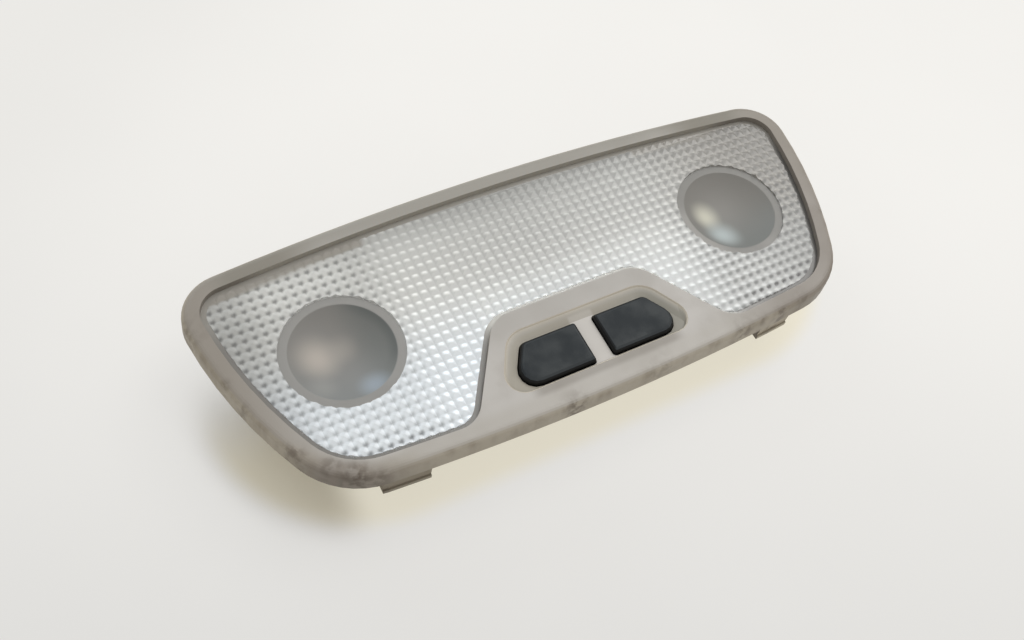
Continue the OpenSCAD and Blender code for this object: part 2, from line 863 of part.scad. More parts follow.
module rear_housing() {
    socket_x0 = socket_x - socket_l / 2;
    socket_x1 = socket_x + socket_l / 2;
    color([0.80, 0.80, 0.78])
    difference() {
        union() {
            difference() {
                union() {
                    housing_form();
                    slab(
                        outline(skirt_t + skirt_draft + housing_clear),
                        housing_lip_z - root / 4, lens_under_z
                    );
                }
                housing_space();
            }
            inner_walls();
            back_ribs();
            block(
                [socket_x0 - socket_t, socket_y - socket_t, 0],
                [socket_x1 + socket_t, socket_y + socket_w + socket_t, socket_roof_z]
            );
            both_sides() {
                translate([screw_x, screw_y, 0])
                    cylinder(h = boss_z, d = post_d);
                clip_lug();
            }
        }
        block(
            [socket_x0, socket_y, -cut],
            [socket_x1, socket_y + socket_w, socket_d]
        );
        for (i = [0 : 3])
            pin_slot(i);
        both_sides() {
            translate([screw_x, screw_y, -cut])
                cylinder(h = screw_seat_z + cut, d = screw_head_d + 2 * screw_head_clear);
            translate([screw_x, screw_y, 0])
                cylinder(h = boss_z + cut, d = screw_d + 2 * screw_clear);
        }
        strip_slots();
    }
}

// Lug on the far wall that carries a spring clip
module clip_lug() {
    lug_y = -near_y(clip_x, clip_in);
    block(
        [clip_x - clip_w / 2, lug_y - lug_t, lug_foot_z],
        [clip_x + clip_w / 2, lug_y, lug_top_z]
    );
}

// Steel strip bent round the lug's foot, with a sprung arm
module spring_clip() {
    y0 = clip_t / 2 - near_y(clip_x, clip_in);
    path = [
        [y0, lug_top_z - clip_bend / 2],
        [y0, lug_foot_z - clip_bend / 2],
        [y0 + clip_bend / 2, lug_foot_z - clip_bend],
        [y0 + clip_spread / 2, lug_foot_z - clip_bend / 2],
        [y0 + clip_spread, lug_foot_z + clip_h * 0.45],
        [y0 + clip_spread / 2, lug_foot_z + clip_h * 0.85]
    ];
    color([0.62, 0.63, 0.64])
        translate([clip_x - clip_w / 2, 0, 0])
            rotate([90, 0, 90])
                linear_extrude(clip_w)
                    polygon(ribbon(path, clip_t));
}

// Place of pin i along the length
function pin_x(i) = socket_x + (i - 1.5) * pin_pitch;

module pin_slot(i) {
    y = socket_y + socket_w / 2;
    block(
        [pin_x(i) - pin_w / 2, y - pin_t / 2, socket_d - root],
        [pin_x(i) + pin_w / 2, y + pin_t / 2, socket_roof_z + cut]
    );
}

// Blade in the socket, bent over the socket's roof and down to the floor
module pin(i) {
    y = socket_y + socket_w / 2;
    y1 = socket_y - socket_t - pin_t / 2;
    path = [
        [y, socket_d - pin_l],
        [y, socket_roof_z + pin_t / 2],
        [y1, socket_roof_z + pin_t / 2],
        [y1, strip_top_z]
    ];
    translate([pin_x(i) - pin_w / 2, 0, 0])
        rotate([90, 0, 90])
            linear_extrude(pin_w)
                polygon(ribbon(path, pin_t));
}

module connector_pins() {
    color([0.75, 0.62, 0.35])
        for (i = [0 : 3])
            pin(i);
}

// Flat strip on the floor along a path of [x, y] points
module strip(path, extra = 0) {
    translate([0, 0, floor_z])
        linear_extrude(strip_t + extra)
            polygon(ribbon(path, strip_w + 2 * extra));
}

module strip_slots() {
    strip(supply_path, strip_clear);
    strip(door_light_path, strip_clear);
    strip(ground_left_path, strip_clear);
    strip(ground_right_path, strip_clear);
    both_sides()
        strip(switch_path, strip_clear);
}

module metal_strip(path) {
    color([0.78, 0.66, 0.40])
        strip(path);
}

// Block inside the lens opening, with the middle reflector's floor and slopes
module trough(inset, floor_level, top_level) {
    gap = reflector_clear + inset;
    foot_y = half_w - rim_w - gap - reflector_far_run;
    near_top_y = near_y(partition_x, housing_top_in + housing_t + gap);
    intersection() {
        slab(opening(gap), floor_level, top_level);
        rotate([90, 0, 90])
            linear_extrude(2 * (partition_x - gap), center = true)
                polygon([
                    [near_top_y, reflector_top_z],
                    [near_y(partition_x, housing_back_in + housing_t + gap), floor_level],
                    [foot_y, floor_level],
                    [foot_y + reflector_far_run, reflector_top_z],
                    [half_w, reflector_top_z],
                    [half_w, top_level + cut],
                    [near_top_y, top_level + cut]
                ]);
    }
}

// Bright tray behind the middle of the lens
module centre_reflector() {
    color([0.93, 0.93, 0.92])
    difference() {
        trough(0, reflector_z, reflector_top_z);
        trough(reflector_t, reflector_z + reflector_t, reflector_top_z + cut);
        both_sides()
            block(
                [
                    tube_clip_x - tube_clip_foot,
                    tube_y - tube_clip_w / 2 - reflector_clear,
                    reflector_z - cut
                ],
                [
                    tube_clip_x + tube_clip_foot,
                    tube_y + tube_clip_w / 2 + reflector_clear,
                    reflector_z + reflector_t + cut
                ]
            );
    }
}

// Bowl round a reading bulb, open on one side for the bulb's holder
module spot_reflector() {
    mouth_z = cup_top_z - cup_mouth_h;
    throat_r = cup_r - cup_flare;
    color([0.88, 0.88, 0.89])
    difference() {
        translate([spot_x, spot_y, 0])
            rotate_extrude($fn = 72)
                polygon([
                    [0, floor_z],
                    [cup_foot_r, floor_z],
                    [throat_r, mouth_z],
                    [cup_r, cup_top_z],
                    [cup_r - cup_t, cup_top_z],
                    [throat_r - cup_t, mouth_z],
                    [cup_foot_r - cup_t, floor_z + cup_t],
                    [0, floor_z + cup_t]
                ]);
        block(
            [
                holder_x - holder_l / 2 - cup_clear,
                spot_y - holder_w / 2 - cup_clear,
                floor_z - cut
            ],
            [spot_x + cup_r + cut, spot_y + holder_w / 2 + cup_clear, holder_top_z + cup_clear]
        );
        translate([spot_x, spot_y, bulb_z])
            rotate([0, 90, 0])
                cylinder(h = cup_r + cut, d = bulb_d + 2 * cup_clear);
    }
}

// Wedge bulb lying along X, its flat base pointing outwards
module reading_bulb() {
    r = bulb_d / 2;
    base_x = bulb_l - bulb_taper_l + strip_lap;
    color([0.93, 0.90, 0.82])
    translate([spot_x - bulb_l / 2, spot_y, bulb_z]) {
        rotate([0, 90, 0])
            rotate_extrude()
                intersection() {
                    union() {
                        translate([0, r])
                            circle(r = r);
                        translate([0, r])
                            square([r, base_x - r]);
                        polygon([
                            [0, base_x],
                            [r, base_x],
                            [bulb_base_t / 2, base_x + bulb_taper_l],
                            [0, base_x + bulb_taper_l]
                        ]);
                    }
                    square([r, bulb_l + bulb_taper_l]);
                }
        translate([bulb_l - strip_lap, -bulb_base_t / 2, -bulb_base_w / 2])
            cube([bulb_base_l + strip_lap, bulb_base_t, bulb_base_w]);
    }
}

module bulb_holder() {
    gap = holder_clear;
    mouth_x = spot_x + bulb_l / 2;
    color([0.90, 0.88, 0.82])
    difference() {
        block(
            [holder_x - holder_l / 2, spot_y - holder_w / 2, floor_z],
            [holder_x + holder_l / 2, spot_y + holder_w / 2, holder_top_z]
        );
        translate([mouth_x, spot_y, bulb_z])
            rotate([0, 90, 0])
                cylinder(h = bulb_taper_l, r1 = bulb_d / 2, r2 = bulb_base_t / 2 + gap);
        block(
            [mouth_x - cut, spot_y - bulb_base_t / 2 - gap, bulb_z - bulb_base_w / 2 - gap],
            [mouth_x + bulb_base_l + gap, spot_y + bulb_base_t / 2 + gap, holder_top_z + cut]
        );
        translate([holder_x - strip_w / 2 - strip_clear, spot_y, floor_z - cut])
            for (y = [-holder_w / 2 - strip_lap, holder_w / 2 - strip_lap])
                translate([0, y, 0])
                    cube([strip_w + 2 * strip_clear, 2 * strip_lap, strip_t + cut + strip_clear]);
    }
}

// Tubular bulb with a metal cap and a pointed tip at each end
module tube_bulb() {
    glass_end = tube_l / 2 - tube_cap_l;
    tip_r = tube_tip_d / 2;
    profile = [
        [tube_d / 2, glass_end - tube_cone_l],
        [tube_cap_d / 2, glass_end],
        [tube_cap_d / 2, tube_l / 2 - tube_tip_l],
        [tip_r, tube_l / 2 - tube_tip_l / 2],
        [tip_r * 0.7, tube_l / 2],
        [0, tube_l / 2]
    ];
    last = len(profile) - 1;
    color([0.95, 0.93, 0.88])
    translate([0, tube_y, tube_z])
        rotate([0, 90, 0])
            rotate_extrude()
                polygon(concat(
                    profile,
                    [for (i = [last : -1 : 0]) [profile[i].x, -profile[i].y]]
                ));
}

// Sprung blade that grips one end of the tubular bulb
module tube_bulb_clip() {
    x = tube_clip_x;
    foot_z = strip_top_z + clip_t / 2;
    rise = tube_z - foot_z;
    path = [
        [x - tube_clip_foot * 0.8, foot_z],
        [x + tube_clip_foot * 0.7, foot_z],
        [x + tube_clip_foot * 0.7, foot_z + rise * 0.3],
        [x, foot_z + rise * 0.65],
        [x, tube_z + tube_clip_hole * 0.75],
        [x + tube_clip_foot * 0.75, tube_z + tube_clip_hole * 1.3]
    ];
    color([0.78, 0.66, 0.40])
    difference() {
        translate([0, tube_y + tube_clip_w / 2, 0])
            rotate([90, 0, 0])
                linear_extrude(tube_clip_w)
                    polygon(ribbon(path, clip_t));
        translate([x - tube_clip_foot, tube_y, tube_z])
            rotate([0, 90, 0])
                cylinder(h = 2 * tube_clip_foot, d = tube_clip_hole);
    }
}

// Button cap with a rounded top, hollow below, with a stop flange and a plunger socket
module button() {
    steps = 4;
    turns = [for (i = [0 : steps]) 90 * i / steps];
    under_z = button_top_z - button_top_t;
    color([0.24, 0.26, 0.28])
    difference() {
        union() {
            loft(
                concat(
                    [button_outline(0)],
                    [
                        for (a = turns)
                        let (ease = 1 - cos(a))
                        button_outline(-button_edge_r * ease, button_near_ease * ease)
                    ]
                ),
                concat(
                    [button_foot_z],
                    [for (a = turns) button_top_z - button_edge_r * (1 - sin(a))]
                )
            );
            slab(
                button_outline(button_flange_w),
                button_foot_z, button_foot_z + button_flange_t
            );
        }
        difference() {
            slab(button_outline(-button_wall), button_foot_z - cut, under_z);
            translate([switch_x, switch_y, spring_top_z])
                cylinder(h = body_h, d = button_boss_d);
        }
        translate([switch_x, switch_y, button_foot_z - cut])
            cylinder(
                h = spring_top_z + socket_boss_h + cut - button_foot_z,
                d = plunger_d + 2 * plunger_fit
            );
    }
}

module plunger() {
    color([0.92, 0.92, 0.90])
        translate([switch_x, switch_y, plunger_foot_z])
            cylinder(h = spring_top_z + socket_boss_h - plunger_foot_z, d = plunger_d);
}

module switch_body() {
    color([0.35, 0.36, 0.38])
    difference() {
        union() {
            block(
                [switch_x - switch_l / 2, switch_y - switch_w / 2, floor_z],
                [switch_x + switch_l / 2, switch_y + switch_w / 2, switch_top_z]
            );
            translate([switch_x, switch_y, switch_top_z - root])
                cylinder(h = neck_h + root, d = neck_d);
        }
        translate([switch_x, switch_y, plunger_foot_z - button_travel - plunger_clear])
            cylinder(h = body_h, d = plunger_d + 2 * plunger_clear);
        strip([
            [switch_x + switch_l / 2 - 2 * strip_lap, switch_y + switch_run],
            [switch_x + switch_l, switch_y + switch_run]
        ], strip_clear);
    }
}

// Coil spring between the switch and the button
module button_spring() {
    sides = 6;
    steps = 14;
    n = spring_turns * steps;
    r = neck_d / 2 + spring_clear + spring_wire / 2;
    z0 = switch_top_z + spring_wire / 2;
    z1 = spring_top_z - spring_wire / 2;
    pitch_z = (z1 - z0) / (spring_turns - 1.5);
    points = [
        for (i = [0 : n])
        let (a = 360 * i / steps)
        let (z = z0 + pitch_z * min(max(i / steps - 0.75, 0), spring_turns - 1.5))
        for (k = [0 : sides - 1])
        let (b = 360 * k / sides)
        let (q = r + spring_wire / 2 * cos(b))
        [switch_x + q * cos(a), switch_y + q * sin(a), z + spring_wire / 2 * sin(b)]
    ];
    skin = [
        for (i = [0 : n - 1])
        for (k = [0 : sides - 1])
        let (j = (k + 1) % sides)
        [i * sides + k, i * sides + j, (i + 1) * sides + j, (i + 1) * sides + k]
    ];
    first = [for (k = [sides - 1 : -1 : 0]) k];
    last = [for (k = [0 : sides - 1]) n * sides + k];
    color([0.70, 0.71, 0.72])
        polyhedron(points, concat([first, last], skin), convexity = 10);
}

module housing_screws() {
    color([0.55, 0.56, 0.57])
        both_sides()
            translate([screw_x, screw_y, screw_seat_z])
                difference() {
                    union() {
                        translate([0, 0, -screw_head_h])
                            cylinder(h = screw_head_h, d = screw_head_d);
                        translate([0, 0, -root])
                            cylinder(h = screw_l + root, d = screw_d);
                    }
                    for (a = [0, 90])
                        rotate(a)
                            translate([0, 0, -screw_head_h])
                                cube([screw_drive, screw_slot, screw_head_h], center = true);
                }
}

bezel();
lens();
rear_housing();
centre_reflector();
mirror([1, 0, 0]) spot_reflector();  // spot_reflector_left
spot_reflector();  // spot_reflector_right
mirror([1, 0, 0]) reading_bulb();  // reading_bulb_left
reading_bulb();  // reading_bulb_right
mirror([1, 0, 0]) bulb_holder();  // bulb_holder_left
bulb_holder();  // bulb_holder_right
tube_bulb();
mirror([1, 0, 0]) tube_bulb_clip();  // tube_bulb_clip_left
tube_bulb_clip();  // tube_bulb_clip_right
mirror([1, 0, 0]) button();  // button_left
button();  // button_right
mirror([1, 0, 0]) plunger();  // plunger_left
plunger();  // plunger_right
mirror([1, 0, 0]) button_spring();  // button_spring_left
button_spring();  // button_spring_right
mirror([1, 0, 0]) switch_body();  // switch_body_left
switch_body();  // switch_body_right
metal_strip(supply_path);  // supply_strip
metal_strip(door_light_path);  // door_light_strip
metal_strip(ground_left_path);  // ground_strip_left
metal_strip(ground_right_path);  // ground_strip_right
mirror([1, 0, 0]) metal_strip(switch_path);  // switch_strip_left
metal_strip(switch_path);  // switch_strip_right
connector_pins();
mirror([1, 0, 0]) spring_clip();  // spring_clip_left
spring_clip();  // spring_clip_right
housing_screws();
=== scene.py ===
import math

import bpy
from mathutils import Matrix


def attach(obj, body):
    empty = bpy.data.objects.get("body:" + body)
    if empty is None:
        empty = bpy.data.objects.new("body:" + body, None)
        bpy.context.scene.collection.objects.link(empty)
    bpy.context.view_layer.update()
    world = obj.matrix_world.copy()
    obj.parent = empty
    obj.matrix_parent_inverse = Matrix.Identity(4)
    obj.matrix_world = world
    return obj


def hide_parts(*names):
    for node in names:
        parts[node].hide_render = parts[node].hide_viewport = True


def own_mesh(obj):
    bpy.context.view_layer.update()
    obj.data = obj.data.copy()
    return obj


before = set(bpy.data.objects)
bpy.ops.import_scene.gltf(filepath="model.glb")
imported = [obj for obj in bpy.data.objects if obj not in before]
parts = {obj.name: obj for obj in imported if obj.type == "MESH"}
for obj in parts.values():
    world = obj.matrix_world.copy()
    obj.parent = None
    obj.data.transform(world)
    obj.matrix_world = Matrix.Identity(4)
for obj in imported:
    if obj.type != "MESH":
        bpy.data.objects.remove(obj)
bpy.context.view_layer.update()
millimetre = 0.001


def startMaterial(name):
    material = bpy.data.materials.new(name)
    material.use_nodes = True
    tree = material.node_tree
    tree.nodes.clear()
    output = tree.nodes.new("ShaderNodeOutputMaterial")
    shader = tree.nodes.new("ShaderNodeBsdfPrincipled")
    tree.links.new(shader.outputs[0], output.inputs["Surface"])
    return material, tree, shader


def addNode(tree, kind, **settings):
    node = tree.nodes.new("ShaderNode" + kind)
    for key, value in settings.items():
        setattr(node, key, value)
    return node


def feed(tree, socket, value):
    if isinstance(value, bpy.types.NodeSocket):
        tree.links.new(value, socket)
    else:
        socket.default_value = value


def calc(tree, operation, first, second=0.0):
    node = addNode(tree, "Math", operation=operation)
    feed(tree, node.inputs[0], first)
    feed(tree, node.inputs[1], second)
    return node.outputs[0]


def product(tree, *values):
    result = values[0]
    for value in values[1:]:
        result = calc(tree, "MULTIPLY", result, value)
    return result


def scaled(tree, vector, strength):
    node = addNode(tree, "VectorMath", operation="SCALE")
    feed(tree, node.inputs[0], vector)
    feed(tree, node.inputs["Scale"], strength)
    return node.outputs[0]


def unit(tree, vector):
    node = addNode(tree, "VectorMath", operation="NORMALIZE")
    feed(tree, node.inputs[0], vector)
    return node.outputs[0]


def axes(tree, vector):
    node = addNode(tree, "SeparateXYZ")
    feed(tree, node.inputs[0], vector)
    return node.outputs


def joined(tree, x, y, z=0.0):
    node = addNode(tree, "CombineXYZ")
    for socket, value in zip(node.inputs, (x, y, z)):
        feed(tree, socket, value)
    return node.outputs[0]


def awayFrom(tree, x, y, spot):
    # distance from a spot, in the plane
    gap = addNode(tree, "VectorMath", operation="DISTANCE")
    feed(tree, gap.inputs[0], joined(tree, x, y))
    gap.inputs[1].default_value = (*spot, 0)
    return gap.outputs["Value"]


def fade(tree, value, low, high, start=0.0, end=1.0):
    # goes softly from start at low to end at high
    node = addNode(tree, "MapRange", interpolation_type="SMOOTHSTEP")
    feed(tree, node.inputs["Value"], value)
    if low > high:
        low, high, start, end = high, low, end, start
    for name, limit in (("From Min", low), ("From Max", high), ("To Min", start), ("To Max", end)):
        node.inputs[name].default_value = limit
    return node.outputs["Result"]


def tint(tree, share, first, second, blend="MIX"):
    node = addNode(tree, "Mix", data_type="RGBA", blend_type=blend)
    feed(tree, node.inputs[0], share)
    for socket, colour in ((node.inputs[6], first), (node.inputs[7], second)):  # both colour sockets
        feed(tree, socket, colour if isinstance(colour, bpy.types.NodeSocket) else (*colour, 1))
    return node.outputs[2]


def blendVectors(tree, share, first, second):
    node = addNode(tree, "Mix", data_type="VECTOR")
    feed(tree, node.inputs[0], share)
    feed(tree, node.inputs[4], first)
    feed(tree, node.inputs[5], second)
    return node.outputs[1]


def blendShaders(tree, share, first, second):
    # the blend takes the place of the plain shader at the surface
    node = addNode(tree, "MixShader")
    feed(tree, node.inputs[0], share)
    tree.links.new(first, node.inputs[1])
    tree.links.new(second, node.inputs[2])
    tree.links.new(node.outputs[0], tree.nodes["Material Output"].inputs["Surface"])


def placeOf(tree):
    # the place on the part, in millimetres
    return scaled(tree, addNode(tree, "TexCoord").outputs["Object"], 1 / millimetre)


def measuresOf(tree):
    # what the zones of a finish go by: places, where a face looks, and how far it looks up
    place = placeOf(tree)
    x, y, z = axes(tree, place)
    facing = addNode(tree, "TexCoord").outputs["Normal"]
    return {
        "place": place,
        "x": x,
        "y": y,
        "z": z,
        "length": calc(tree, "ABSOLUTE", x),
        "facing": facing,
        "upward": axes(tree, facing)[2],
    }


def within(tree, at, limits):
    # how far all limits hold, as a share: each limit names a measure, the two values that it fades
    # between and, if not 0 and 1, the shares there; a name alone is of a share already
    shares = [fade(tree, at[name], *ends) if ends else at[name] for name, *ends in limits]
    return product(tree, *shares)


def layOver(tree, at, colour, zones):
    # lays the tone of each zone over the colour, in their order; a tone may have zones of its own
    for tone, limits in zones.values():
        if isinstance(tone, dict):
            tone = layOver(tree, at, tone["colour"], tone["zones"])
        colour = tint(tree, within(tree, at, limits), colour, tone)
    return colour


def cloud(tree, place, size, detail, stretch=None):
    # noise with patches of a size in millimetres
    if stretch:
        mapping = addNode(tree, "Mapping")
        feed(tree, mapping.inputs["Vector"], place)
        mapping.inputs["Scale"].default_value = stretch
        place = mapping.outputs[0]
    node = addNode(tree, "TexNoise")
    feed(tree, node.inputs["Vector"], place)
    node.inputs["Scale"].default_value = 1 / size
    node.inputs["Detail"].default_value = detail
    return node.outputs["Fac"]


noiseReach = (0.3, 0.7)  # the noise seldom leaves this


def vary(tree, socket, pattern, ends):
    # the value wanders between its two ends with the pattern
    feed(tree, socket, fade(tree, pattern, *noiseReach, *ends))


def roughen(tree, shader, height, amount, depth):
    # the depth is in millimetres
    bump = addNode(tree, "Bump")
    bump.inputs["Strength"].default_value = amount
    bump.inputs["Distance"].default_value = depth * millimetre
    feed(tree, bump.inputs["Height"], height)
    tree.links.new(bump.outputs[0], shader.inputs["Normal"])
    return bump


def dress(material, *names):
    for name in names:
        for slot in parts[name].material_slots:
            slot.material = material


cameraLook = {
    "place": (-0.11949, -0.12477, 0.26888),
    "turn": (31.279, -8.235, -27.724),
    "lens": 34.373,
    "sensor": 36,
    "clipStart": 0.01,
}

camera = bpy.data.objects.new("camera", bpy.data.cameras.new("camera"))
bpy.context.scene.collection.objects.link(camera)
camera.location = cameraLook["place"]
camera.rotation_euler = [math.radians(angle) for angle in cameraLook["turn"]]
camera.data.lens = cameraLook["lens"]
camera.data.sensor_width = cameraLook["sensor"]
camera.data.clip_start = cameraLook["clipStart"]
bpy.context.scene.camera = camera
print("camera placed")


nearIsland = [("length", 34, 32), ("y", -7, -9), ("y", -36, -34)]
wallShadeTone = (0.20, 0.18, 0.16)
# painted shade of the recess, darker at its right end
recessShadeTone = (0.335, 0.312, 0.265)
recessRightShade = ((0.245, 0.237, 0.205), [("x", 8, 30)])

bezelLook = {
    "colour": (0.452, 0.435, 0.415),
    "zones": {  # each has its tone, then its limits: places in millimetres, slopes and noise as shares
        "blotch": ((0.40, 0.38, 0.355), [("broad", 0.42, 0.68)]),
        "islandFar": ((0.385, 0.37, 0.35), [("length", 62, 44), ("y", 0, -6), ("y", -22, -10, 0, 0.9)]),
        # painted shade: the rims are darker where their rounding turns from the light, most at the ends, the
        # right and the far corners
        "nearRim": ((0.405, 0.385, 0.355), [("y", -33, -37, 0, 0.8)]),
        "farRim": ((0.30, 0.287, 0.26), [("y", 28, 38)]),
        "ends": ((0.25, 0.225, 0.195), [("length", 72, 102, 0, 0.95)]),
        "rightRim": ((0.265, 0.24, 0.215), [("x", 38, 64), ("y", 12, -14)]),
        "farCorners": ((0.225, 0.21, 0.18), [("y", 18, 30), ("length", 58, 76), ("length", 98, 88)]),
        # the flank: partly stain, partly painted shade on the rounding and the walls that turn from the light
        "flank": ({
            "colour": (0.38, 0.34, 0.27),
            "zones": {"corners": ((0.17, 0.145, 0.12), [("length", 52, 84), ("y", -18, -34)])},
        }, [("flank",)]),
        "dirt": ((0.15, 0.115, 0.08), [
            ("side",), ("z", 21.5, 26.5, 0.35, 1), ("grime", 0.42, 0.74, 0, 0.5), ("y", 32, 8, 0.4, 1),
        ]),
        # painted shade: the tabs under the skirt are dark, the right one less so
        "tabs": ({
            "colour": (0.23, 0.20, 0.15),
            "zones": {"rightTab": ((0.37, 0.33, 0.25), [("x", -20, 20)])},
        }, [("z", 21.2, 20.2, 0, 0.9)]),
        "inner": ({  # the wall round the lens: painted shade, with some dust
            "colour": wallShadeTone,
            "zones": {"far": ((0.36, 0.34, 0.30), [("y", 14, 30), ("length", 90, 76)])},
        }, [("outward", -1, -4), ("upward", 0.5, 0.1, 0, 0.85)]),
        # painted shade on the island's wall beside the lens
        "islandWall": (wallShadeTone, [
            ("length", 56, 52), ("length", 30, 33), ("y", -38.5, -37), ("y", -4, -8),
            ("upward", 0.6, 0.2, 0, 0.85),
        ]),
        # painted shade in the recess round the buttons and on its slopes, darker at the right, with painted
        # light on the divider
        "recess": ({
            "colour": recessShadeTone,
            "zones": {"right": recessRightShade, "divider": ((0.53, 0.51, 0.485), [("length", 4.5, 3.5)])},
        }, nearIsland + [("z", 27.4, 27.1), ("upward", 0.9, 0.97)]),
        "recessSlope": ({
            "colour": recessShadeTone,
            "zones": {"right": recessRightShade},
        }, nearIsland + [("upward", 0.99, 0.96), ("upward", 0.5, 0.8, 0, 0.9)]),
        # painted shadow along the near side of the buttons
        "shadowUnderButtons": ((0.285, 0.265, 0.24), [
            ("length", 27, 22), ("y", -32, -32.8), ("y", -36.5, -34.5), ("upward", 0.97, 0.99, 0, 0.9),
        ]),
        # painted highlight along the top edge of the recess
        "recessEdgeHighlight": ((0.62, 0.57, 0.48), nearIsland + [("z", 27.3, 27.9), ("upward", 0.995, 0.97, 0, 0.8)]),
        "soot": ((0.11, 0.088, 0.068), [("smudge",), ("speck", 0.38, 0.62), ("side", 0, 0.5, 0.35, 1)]),
    },
    "clouds": {  # size in millimetres, detail, stretch
        "broad": (14, 4, None),
        "fine": (0.45, 2, None),
        "grime": (5, 6, (1, 1, 0.4)),
        "speck": (2.4, 5, None),
    },
    "outerWalls": [("upward", 0.985, 0.6)],
    "leftCorner": [("leftRound", 39.5, 43.5), ("x", -58, -72), ("y", 0, -16, 0, 0.75)],
    "leftRoundMiddle": (-60, 5),  # leftRound is the distance from here
    "flankStrength": 0.8,
    "smudgeCore": 0.15,  # share of a smudge's radius at full strength
    "smudges": [  # x, y and radius in millimetres, strength
        (-15, -41, 6, 0.75), (45, -40, 6, 0.6), (52, -38.5, 4, 0.5), (69, -37.5, 5, 0.55), (14, -41, 9, 0.3),
        (60, -40.5, 4.5, 0.75), (-79.5, -36, 3.5, 0.95), (-80, -37, 7, 0.85), (-74, -41, 6, 0.7),
        (-84.5, -31, 5, 0.5), (-92.5, -24, 6, 0.55), (-100.3, 2.2, 2.4, 0.75), (-100, -7, 5, 0.45),
        (-104, 21, 8, 0.5), (96, -12, 3.2, 0.85), (95, -18, 2.6, 0.7), (102, 4, 5, 0.5),
    ],
    "roughness": (0.42, 0.58),
    "ior": 1.49,
    "grain": 0.3,
    "grainDepth": 0.05,
}


def bezelFinish(look):
    material, tree, shader = startMaterial("bezelPlastic")
    at = measuresOf(tree)
    for name, (size, detail, stretch) in look["clouds"].items():
        at[name] = cloud(tree, at["place"], size, detail, stretch)
    at["leftRound"] = awayFrom(tree, at["x"], at["y"], look["leftRoundMiddle"])

    # walls that face out are darker, partly stain and partly painted shade, and those that face in get
    # painted shade with some dust
    outward = addNode(tree, "VectorMath", operation="DOT_PRODUCT")
    feed(tree, outward.inputs[0], at["facing"])
    feed(tree, outward.inputs[1], at["place"])
    at["outward"] = outward.outputs["Value"]
    leftCorner = within(tree, at, look["leftCorner"])
    at["side"] = calc(tree, "MAXIMUM", within(tree, at, look["outerWalls"]), leftCorner)
    at["flank"] = product(tree, at["side"], look["flankStrength"])

    at["smudge"] = 0.0
    for spotX, spotY, radius, strength in look["smudges"]:
        gap = awayFrom(tree, at["x"], at["y"], (spotX, spotY))
        patch = fade(tree, gap, radius, radius * look["smudgeCore"], 0, strength)
        at["smudge"] = calc(tree, "MAXIMUM", at["smudge"], patch)
    feed(tree, shader.inputs["Base Color"], layOver(tree, at, look["colour"], look["zones"]))
    vary(tree, shader.inputs["Roughness"], at["broad"], look["roughness"])
    shader.inputs["IOR"].default_value = look["ior"]
    roughen(tree, shader, at["fine"], look["grain"], look["grainDepth"])
    return material


dress(bezelFinish(bezelLook), "bezel")
print("bezel finished")


buttonLook = {
    "colour": (0.014, 0.019, 0.0235),
    "zones": {
        "dust": ((0.024, 0.030, 0.034), [("broad", 0.35, 0.7)]),
        # painted highlight on the buttons' top rounding
        "edge": ((0.034, 0.040, 0.045), [("upward", 0.9, 0.95), ("upward", 0.997, 0.975, 0, 0.7)]),
        # painted shade: the buttons' sides are near black
        "side": ((0.0015, 0.002, 0.0025), [("upward", 0.95, 0.76)]),
    },
    "blotchSize": 7,
    "grainSize": 0.4,
    "roughness": (0.62, 0.48),
    "gloss": 0.28,
    "grain": 0.5,
    "grainDepth": 0.06,
}


def buttonFinish(look):
    material, tree, shader = startMaterial("buttonPlastic")
    at = measuresOf(tree)
    at["broad"] = cloud(tree, at["place"], look["blotchSize"], detail=4)
    fine = cloud(tree, at["place"], look["grainSize"], detail=2)
    feed(tree, shader.inputs["Base Color"], layOver(tree, at, look["colour"], look["zones"]))
    vary(tree, shader.inputs["Roughness"], at["broad"], look["roughness"])
    shader.inputs["Specular IOR Level"].default_value = look["gloss"]
    roughen(tree, shader, fine, look["grain"], look["grainDepth"])
    return material


dress(buttonFinish(buttonLook), "button_left", "button_right")
print("buttons finished")


plasticSurface = {
    "blotches": (0.35, 0.7),  # where the noise turns from the colour to the blotch
    "grainDepth": 0.08,
}


def plasticFinish(name, look):
    material, tree, shader = startMaterial(name)
    place = placeOf(tree)
    broad = cloud(tree, place, look["blotchSize"], detail=3)
    fine = cloud(tree, place, look["grainSize"], detail=2)
    blotches = fade(tree, broad, *plasticSurface["blotches"])
    feed(tree, shader.inputs["Base Color"], tint(tree, blotches, look["colour"], look["blotch"]))
    vary(tree, shader.inputs["Roughness"], broad, look["roughness"])
    roughen(tree, shader, fine, look["grain"], plasticSurface["grainDepth"])
    return material


housingLook = {
    "colour": (0.55, 0.54, 0.51),
    "blotch": (0.47, 0.46, 0.43),
    "blotchSize": 25,
    "grainSize": 0.8,
    "grain": 0.25,
    "roughness": (0.45, 0.6),
}
dress(plasticFinish("housingPlastic", housingLook), "rear_housing")

trayLook = {
    "colour": (0.86, 0.87, 0.87),
    "blotch": (0.80, 0.80, 0.79),
    "blotchSize": 20,
    "grainSize": 0.7,
    "grain": 0.1,
    "roughness": (0.25, 0.4),
}
dress(plasticFinish("reflectorWhite", trayLook), "centre_reflector")

holderLook = {
    "colour": (0.030, 0.028, 0.027),
    "blotch": (0.045, 0.042, 0.040),
    "blotchSize": 6,
    "grainSize": 0.6,
    "grain": 0.3,
    "roughness": (0.4, 0.55),
}
dress(plasticFinish("holderPlastic", holderLook), "bulb_holder_left", "bulb_holder_right")

plungerLook = {
    "colour": (0.72, 0.71, 0.67),
    "blotch": (0.64, 0.62, 0.57),
    "blotchSize": 5,
    "grainSize": 0.5,
    "grain": 0.2,
    "roughness": (0.35, 0.5),
}
dress(plasticFinish("plungerPlastic", plungerLook), "plunger_left", "plunger_right")

